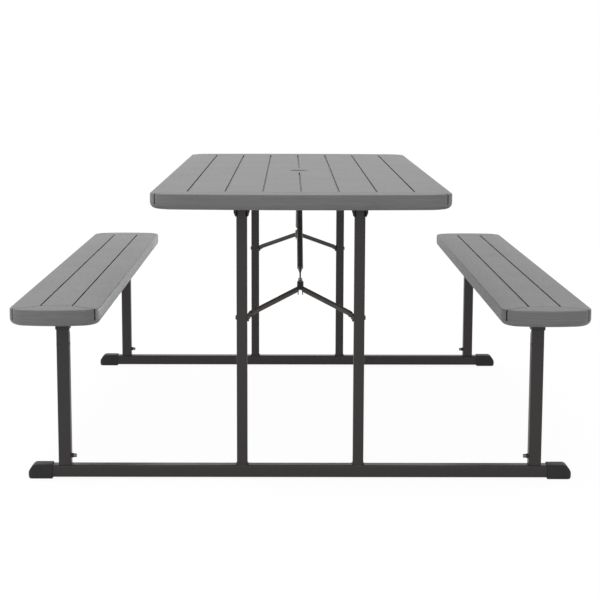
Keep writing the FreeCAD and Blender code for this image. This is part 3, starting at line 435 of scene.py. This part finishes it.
# %% Dress the frame's own nodes
def coat_of(name):
    """Which finish a node of the frame wears, by what the piece is."""
    for words, paint in (
            (("skin",), skin_plastic),
            (("foot_cap",), cap_plastic),
            (("screws", "lock_pin", "lock_ring", "knee_rivet", "leg_rivets"), zinc),
            # the brackets and bolts wear the painted-shade copy; arms, clevis and tube the painted-light
            # copies
            (("pivot_bolts", "yoke_bolts", "bracket"), painted_shade_coat),
            (("yoke_arm", "clevis"), painted_light_arm_coat),
            (("brace_tube",), painted_light_tube_coat)):
        if any(word in name for word in words):
            return paint
    return steel_coat


for name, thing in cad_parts.items():
    thing.data.materials.clear()
    thing.data.materials.append(coat_of(name))
print("dressed", len(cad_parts), "nodes")

# %% [markdown]
# ## The moulded panels
#
# The top and the two seats are the same thing at two sizes: a board with slightly bowed ends,
# round corners, a soft upper edge and a larger round below.  The outline starts as a plane whose
# corners are bevelled.  Its ends are divided and bowed, and the outline is then pulled up to the
# panel's depth, so that the edges can be bevelled like those of a real moulding.

# %% The panel's body
PANEL_LENGTH = 1829 * MM
END_BOW = 20 * MM
UPPER_ROUND = 4 * MM
LOWER_ROUND = 15 * MM
SKIRT = 20 * MM                    # width of the rim that stands below the lower skin
SKIN_GAP = 0.5 * MM                # between the lower skin and the moulding above it
END_CUTS = 28                      # cuts that let an end bow smoothly


def panel_body(name, across, low, high, width, corner, skin):
    """A closed board with bowed ends and rounded edges; hollowed from below to above its skin."""
    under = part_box(skin)[1].z + SKIN_GAP
    deselect()
    bpy.ops.mesh.primitive_plane_add(size=1, location=(across, 0, low))
    board = bpy.context.object
    board.name = name
    board.scale = (width, PANEL_LENGTH, 1)
    bpy.ops.object.transform_apply(location=True, scale=True)
    edit(board)
    bpy.ops.mesh.select_all(action="SELECT")
    bpy.ops.mesh.bevel(offset=corner, segments=14, affect="VERTICES")
    bpy.ops.mesh.select_all(action="SELECT")
    bpy.ops.mesh.delete(type="ONLY_FACE")
    half = PANEL_LENGTH / 2
    pick(board, "EDGE", lambda e: all(abs(abs(v.co.y) - half) < 0.1 * MM for v in e.verts))
    bpy.ops.mesh.subdivide(number_cuts=END_CUTS)
    shape = bmesh.from_edit_mesh(board.data)
    for vertex in shape.verts:
        reach = (vertex.co.x - across) / (width / 2)
        vertex.co.y -= math.copysign(END_BOW * reach ** 2, vertex.co.y)
    bmesh.update_edit_mesh(board.data)
    bpy.ops.mesh.select_all(action="SELECT")
    bpy.ops.mesh.edge_face_add()
    bpy.ops.mesh.select_all(action="SELECT")
    bpy.ops.mesh.extrude_region_move(TRANSFORM_OT_translate={"value": (0, 0, high - low)})
    bpy.ops.mesh.select_all(action="SELECT")
    bpy.ops.mesh.normals_make_consistent(inside=False)
    pick(board, "EDGE", lambda e: level(e, high))
    bpy.ops.mesh.bevel(offset=UPPER_ROUND, segments=6, affect="EDGES")
    pick(board, "EDGE", lambda e: level(e, low))
    bpy.ops.mesh.bevel(offset=LOWER_ROUND, segments=8, affect="EDGES")
    pick(board, "FACE", lambda f: level(f, low) and f.normal.z < -0.9)
    bpy.ops.mesh.inset(thickness=SKIRT - LOWER_ROUND)
    bpy.ops.mesh.extrude_region_move(TRANSFORM_OT_translate={"value": (0, 0, under - low)})
    deselect()
    return board


# %% [markdown]
# Three kinds of line are pressed into a panel.  The grooves between its boards are straight,
# with round ends.  Near each end a shallow crease marks off an end board; it runs across the
# panel and bends out to a deep slot in each corner's round.  Each line is cut with a tool of its
# own shape: a bar for a groove, a bent strip for a crease and a blade for a slot.

# %% The pressed lines
GROOVE_WIDE = 4.4 * MM
GROOVE_DEEP = 4.2 * MM
CREASE_WIDE = 2.6 * MM
CREASE_DEEP = 1.0 * MM
SLOT_WIDE = 4.2 * MM
SLOT_DEEP = 5.0 * MM
SLOT_FOOT = 0.30                   # share of the panel's depth below a slot
SLOT_HEAD = 0.4 * MM               # plastic left above a slot


def groove_tool(x, y_from, y_to, high):
    """A bar with round ends, sunk into the top by the groove's depth."""
    bar = block("groove_tool", (x - GROOVE_WIDE / 2, y_from, high - GROOVE_DEEP),
                (x + GROOVE_WIDE / 2, y_to, high + 4 * MM))
    edit(bar)
    pick(bar, "EDGE", lambda e: abs(e.verts[0].co.z - e.verts[1].co.z) > MM)
    bpy.ops.mesh.bevel(offset=GROOVE_WIDE * 0.48, segments=4, affect="EDGES")
    pick(bar, "EDGE", lambda e: level(e, high - GROOVE_DEEP))
    bpy.ops.mesh.bevel(offset=GROOVE_WIDE * 0.3, segments=2, affect="EDGES")
    deselect()
    return bar


def strip_tool(points, wide, low, high):
    """A strip that follows points on the flat, from one height up to another."""
    deselect()
    bpy.ops.mesh.primitive_plane_add(size=1)
    strip = bpy.context.object
    strip.name = "strip_tool"
    edit(strip)
    bpy.ops.mesh.select_all(action="SELECT")
    bpy.ops.mesh.delete(type="VERT")
    shape = bmesh.from_edit_mesh(strip.data)
    sides = []
    for i, point in enumerate(points):
        before, after = points[max(i - 1, 0)], points[min(i + 1, len(points) - 1)]
        along = (Vector(after) - Vector(before)).normalized()
        across = Vector((-along.y, along.x)) * wide / 2
        sides.append([shape.verts.new((point[0] + s * across.x, point[1] + s * across.y, low))
                      for s in (-1, 1)])
    for (a, b), (c, d) in zip(sides, sides[1:]):
        shape.faces.new((a, b, d, c))
    bmesh.update_edit_mesh(strip.data)
    bpy.ops.mesh.select_all(action="SELECT")
    bpy.ops.mesh.extrude_region_move(TRANSFORM_OT_translate={"value": (0, 0, high - low)})
    bpy.ops.mesh.select_all(action="SELECT")
    bpy.ops.mesh.normals_make_consistent(inside=False)
    deselect()
    return strip


def slot_tool(spot, heading, low, high):
    """A blade that stands in a corner's round, pointing at the corner's centre."""
    blade = block("slot_tool", (-SLOT_DEEP, -SLOT_WIDE / 2, low), (12 * MM, SLOT_WIDE / 2, high))
    blade.rotation_euler.z = heading
    blade.location.x, blade.location.y = spot
    bpy.ops.object.transform_apply(location=True, rotation=True)
    return blade


def corner_spot(across, width, corner, side, end, angle):
    """The point of a corner's round at an angle from the side, on the bowed outline."""
    x = side * (width / 2 - corner + corner * math.cos(angle))
    y = end * (PANEL_LENGTH / 2 - corner + corner * math.sin(angle))
    y -= end * END_BOW * (x / (width / 2)) ** 2
    return across + x, y


def press_lines(board, across, low, high, width, corner, grooves, crease, angle):
    """Cut grooves (x, from, to), slots and creases; a crease is a list of (x, y) from the left slot
    to the right one at the far end, and mirrored at the near end."""
    tools = [groove_tool(across + x, start, stop, high) for x, start, stop in grooves]
    for end in (-1, 1):
        ends = []
        for side in (-1, 1):
            spot = corner_spot(across, width, corner, side, end, angle)
            heading = math.atan2(end * math.sin(angle), side * math.cos(angle))
            tools.append(slot_tool(spot, heading, low + SLOT_FOOT * (high - low), high - SLOT_HEAD))
            ends.append(spot)
        path = [ends[0]] + [(across + x, end * y) for x, y in crease] + [ends[1]]
        tools.append(strip_tool(path, CREASE_WIDE, high - CREASE_DEEP, high + 3 * MM))
    carve(board, tools)


# %% The table top
TOP_WIDE = 744 * MM
TOP_CORNER = 60 * MM
TOP_GROOVE_INSET = 103 * MM
UMBRELLA_FLAT = 105 * MM
top_low, top_high = (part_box("table_top")[0].z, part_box("table_top")[1].z)

table_top = panel_body("table_top_panel", 0, top_low, top_high, TOP_WIDE, TOP_CORNER,
                       "table_top_skin")
reach = PANEL_LENGTH / 2 - TOP_GROOVE_INSET
top_grooves = [(i * TOP_PITCH, -reach, reach) for i in (-3, -2, -1, 1, 2, 3)]
top_grooves += [(0, -reach, -UMBRELLA_FLAT), (0, UMBRELLA_FLAT, reach)]
half_crease = [(338 * MM, 850 * MM), (322 * MM, 842 * MM), (296 * MM, 838.5 * MM), (250 * MM, 837.5 * MM)]
top_crease = [(-x, y) for x, y in half_crease] + half_crease[::-1]
press_lines(table_top, 0, top_low, top_high, TOP_WIDE, TOP_CORNER, top_grooves, top_crease,
            math.radians(40))

# %% [markdown]
# The parasol hole goes right through.  A tube of the same plastic joins the two skins round it,
# and its upper rim is chamfered, so a pole finds its way in.

# %% The parasol hole
HOLE = 25.4 * MM
SLEEVE = 30.4 * MM
SLEEVE_TALL = 18 * MM
RIM = 4 * MM
deselect()
sleeve_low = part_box("table_top_skin")[0].z
bpy.ops.mesh.primitive_cylinder_add(vertices=64, radius=SLEEVE, depth=SLEEVE_TALL,
                                    location=(0, 0, sleeve_low + SLEEVE_TALL / 2))
sleeve = bpy.context.object
bpy.ops.object.transform_apply(location=True)
carve(table_top, [sleeve], "UNION")
deselect()
bpy.ops.mesh.primitive_cylinder_add(vertices=64, radius=HOLE, depth=80 * MM,
                                    location=(0, 0, top_high - 20 * MM))
bore = bpy.context.object
bpy.ops.object.transform_apply(location=True)
edit(bore)
pick(bore, "FACE", lambda f: f.normal.z > 0.9)
bpy.ops.transform.translate(value=(0, 0, -20 * MM - RIM))
bpy.ops.mesh.extrude_region_move(TRANSFORM_OT_translate={"value": (0, 0, 2 * RIM)})
bpy.ops.transform.resize(value=((HOLE + 2 * RIM) / HOLE, (HOLE + 2 * RIM) / HOLE, 1))
deselect()
carve(table_top, [bore])
finish_piece(table_top, "top", top_plastic, ["table_top"])

# %% The two seats
SEAT_WIDE = 224 * MM
SEAT_CORNER = 38 * MM
SEAT_GROOVE_INSET = 78 * MM
for side, sign, paint in (("left", -1, left_plastic), ("right", 1, right_plastic)):
    low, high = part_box(f"{side}_bench_seat")
    seat = panel_body(f"{side}_seat_panel", sign * BENCH_CENTRE, low.z, high.z, SEAT_WIDE, SEAT_CORNER,
                      f"{side}_bench_skin")
    reach = PANEL_LENGTH / 2 - SEAT_GROOVE_INSET
    press_lines(seat, sign * BENCH_CENTRE, low.z, high.z, SEAT_WIDE, SEAT_CORNER,
                [(i * BENCH_PITCH / 2, -reach, reach) for i in (-1, 1)],
                [(i * BENCH_PITCH / 2, reach) for i in (-1, 1)], math.radians(44))
    finish_piece(seat, f"{side}_bench", paint, [f"{side}_bench_seat"])

# %% The lamp that only the left seat sees
lit_alone = bpy.data.collections.new("lit_by_bench_lamp")
lit_alone.objects.link(bpy.data.objects["left_seat_panel"])
bench_lamp.light_linking.receiver_collection = lit_alone

# %% [markdown]
# ## Foot caps
#
# Each end of a floor rail wears a black moulded cap.  Its outer end is swept like the toe of a
# shoe, with a few ribs across it that grip when the folded table is stood on end.  The cap is
# the part that two outlines have in common: the side view with its ribs, drawn out across the
# rail, and the plan with its round corners, drawn up.

# %% Foot caps
CAP_TOE_LINE = ((37.3, 22.0), (36.2, 17.0), (33.3, 12.2), (28.4, 7.9), (23.5, 4.5), (18.6, 1.7), (13.7, 0.6),
                (8.8, 0.0), (3.9, 1.4), (1.2, 3.2), (0.0, 6.0))     # height, distance in from the tip
CAP_PROUD = 1.5 * MM               # how far the ribs stand past the frame's own cap
CAP_CORNER = 13 * MM
CAP_SOFT = 2.2 * MM
RIB_LOW, RIB_HIGH, RIB_PITCH, RIB_PROUD = 8.0, 27.0, 4.5, 0.9       # mm


def toe_inset(height):
    """How far in from the tip the cap's outline lies at a height, between the measured points."""
    for (high, a), (low, b) in zip(CAP_TOE_LINE, CAP_TOE_LINE[1:]):
        if low <= height <= high:
            return b + (a - b) * (height - low) / (high - low)
    return CAP_TOE_LINE[0][1]


def toe_outline():
    """The side view from the top round the ribbed toe to the bottom, as (inset, height)."""
    heights = [high for high, _ in CAP_TOE_LINE if high > RIB_HIGH]
    rib = RIB_HIGH
    while rib > RIB_LOW:
        heights += [rib, rib - 0.5, rib - 0.5 * RIB_PITCH, rib - 0.5 * RIB_PITCH - 0.5]
        rib -= RIB_PITCH
    heights += [high for high, _ in CAP_TOE_LINE if high < RIB_LOW]
    line = []
    for place, height in enumerate(heights):
        phase = (RIB_HIGH - height) / RIB_PITCH % 1.0
        ribbed = RIB_LOW - RIB_PITCH / 2 < height <= RIB_HIGH
        sunk = RIB_PROUD if ribbed and not 0.05 < phase < 0.55 else 0.0
        line.append((toe_inset(height) + sunk, height))
    return line


def drawn_out(name, points, shift):
    """A closed solid made of a flat outline moved along a vector; points are 3-D places."""
    deselect()
    bpy.ops.mesh.primitive_plane_add(size=1)
    made = bpy.context.object
    made.name = name
    edit(made)
    bpy.ops.mesh.select_all(action="SELECT")
    bpy.ops.mesh.delete(type="VERT")
    shape = bmesh.from_edit_mesh(made.data)
    shape.faces.new([shape.verts.new(point) for point in points])
    bmesh.update_edit_mesh(made.data)
    bpy.ops.mesh.select_all(action="SELECT")
    bpy.ops.mesh.extrude_region_move(TRANSFORM_OT_translate={"value": shift})
    bpy.ops.mesh.select_all(action="SELECT")
    bpy.ops.mesh.normals_make_consistent(inside=False)
    return made


def foot_cap(end, side):
    """One cap over the end of the rail, hollow where the rail goes in."""
    name = f"{end}_{side}_foot_cap"
    low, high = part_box(name)
    sign = -1 if low.x < 0 else 1
    tip, back = (high.x, low.x) if sign > 0 else (low.x, high.x)
    tip += sign * CAP_PROUD
    scale = (high.z - low.z) / (CAP_TOE_LINE[0][0] * MM)
    toe = [(tip - sign * inset * MM, low.y, low.z + height * MM * scale) for inset, height in toe_outline()]
    cap = drawn_out(f"{end}_{side}_toe_cap", [(back, low.y, high.z)] + toe + [(back, low.y, low.z)],
                    (0, high.y - low.y, 0))
    pick(cap, "EDGE", lambda e: level(e, high.z) and abs(e.verts[0].co.y - e.verts[1].co.y) < MM / 10)
    bpy.ops.mesh.bevel(offset=CAP_SOFT, segments=4, affect="EDGES")
    deselect()
    plan = block("cap_plan", (min(tip, back), low.y, low.z - MM), (max(tip, back), high.y, high.z + MM))
    edit(plan)
    pick(plan, "EDGE", lambda e: all(abs(v.co.x - tip) < MM / 10 for v in e.verts)
         and abs(e.verts[0].co.z - e.verts[1].co.z) > MM)
    bpy.ops.mesh.bevel(offset=CAP_CORNER, segments=8, affect="EDGES")
    deselect()
    rail_low, rail_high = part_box(f"{end}_floor_rail")
    rail_end = rail_high.x if sign > 0 else rail_low.x
    inner = back - sign * 5 * MM
    room = block("rail_room", (min(inner, rail_end), rail_low.y, rail_low.z),
                 (max(inner, rail_end), rail_high.y, rail_high.z))
    carve(cap, [plan], "INTERSECT")
    carve(cap, [room])
    finish_piece(cap, f"{end}_frame", cap_plastic, [name])


for end in ENDS:
    for side in SIDES:
        foot_cap(end, side)

# %% [markdown]
# ## Welds
#
# Each upright is welded to the floor rail all round its foot.  A bead is a square loop of edge
# turned into a curve with a round section, which is how a welder's bead lies: a little fat, and
# rippled where each drop set.

# %% Weld beads
BEAD = 2.6 * MM
POST_CORNER = 4 * MM
BEAD_CUTS = 7                      # drops along each side of a post, less one


def weld_bead(name, post, plane, body):
    """A bead round the foot of a square post, at the height of a plane."""
    low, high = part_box(post)
    middle = ((low.x + high.x) / 2, (low.y + high.y) / 2)
    deselect()
    bpy.ops.mesh.primitive_plane_add(size=high.y - low.y, location=(*middle, plane))
    bead = bpy.context.object
    bead.name = name
    bpy.ops.object.transform_apply(location=True)
    edit(bead)
    bpy.ops.mesh.select_all(action="SELECT")
    bpy.ops.mesh.bevel(offset=POST_CORNER, segments=4, affect="VERTICES")
    bpy.ops.mesh.select_all(action="SELECT")
    bpy.ops.mesh.delete(type="ONLY_FACE")
    bpy.ops.mesh.select_all(action="SELECT")
    bpy.ops.mesh.subdivide(number_cuts=BEAD_CUTS)
    deselect()
    bead.select_set(True)
    bpy.context.view_layer.objects.active = bead
    bpy.ops.object.convert(target="CURVE")
    bead.data.bevel_depth = BEAD
    bead.data.bevel_resolution = 2
    spline = bead.data.splines[0]
    for i, point in enumerate(spline.points):
        point.radius = 1.0 + (0.16 if i % 3 == 0 else -0.05)
    bpy.ops.object.convert(target="MESH")
    finish_piece(bead, body, weld_metal)


for end in ENDS:
    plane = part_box(f"{end}_floor_rail")[1].z
    for side in SIDES:
        weld_bead(f"{end}_{side}_upright_bead", f"{end}_{side}_upright", plane, f"{end}_frame")

# %% [markdown]
# ## Pivot heads
#
# Each arm of the brace hangs on a bolt through its upright.  The bolt's inner head is zinc
# plated, a round dome that catches the light against the dark arm.

# %% Bright heads on the arms
HEAD_WIDE = 8.6 * MM
HEAD_TALL = 3.2 * MM
HEAD_SOFT = 1.4 * MM
ARM_TAB = 4 * MM                   # thickness of the arm's end, on which the head sits
for end in ENDS:
    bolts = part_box(f"{end}_yoke_bolts")
    height, along = [(bolts[0][axis] + bolts[1][axis]) / 2 for axis in (2, 1)]
    for side in SIDES:
        arm_low, arm_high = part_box(f"{end}_{side}_yoke_arm")
        sign = -1 if abs(arm_low.x) > abs(arm_high.x) else 1
        tab = (arm_low.x if sign < 0 else arm_high.x) - sign * ARM_TAB
        deselect()
        bpy.ops.mesh.primitive_cylinder_add(
            vertices=32, radius=HEAD_WIDE / 2, depth=HEAD_TALL, rotation=(0, math.radians(90), 0),
            location=(tab - sign * HEAD_TALL / 2, along, height))
        head = bpy.context.object
        head.name = f"{end}_{side}_arm_head"
        bpy.ops.object.transform_apply(location=True, rotation=True)
        apply_modifier(head, "BEVEL", width=HEAD_SOFT, segments=4, limit_method="ANGLE")
        finish_piece(head, f"{end}_yoke", zinc)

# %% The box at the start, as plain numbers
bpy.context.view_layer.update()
box_at_start = [list(map(float, corner)) for corner in box_at_start]
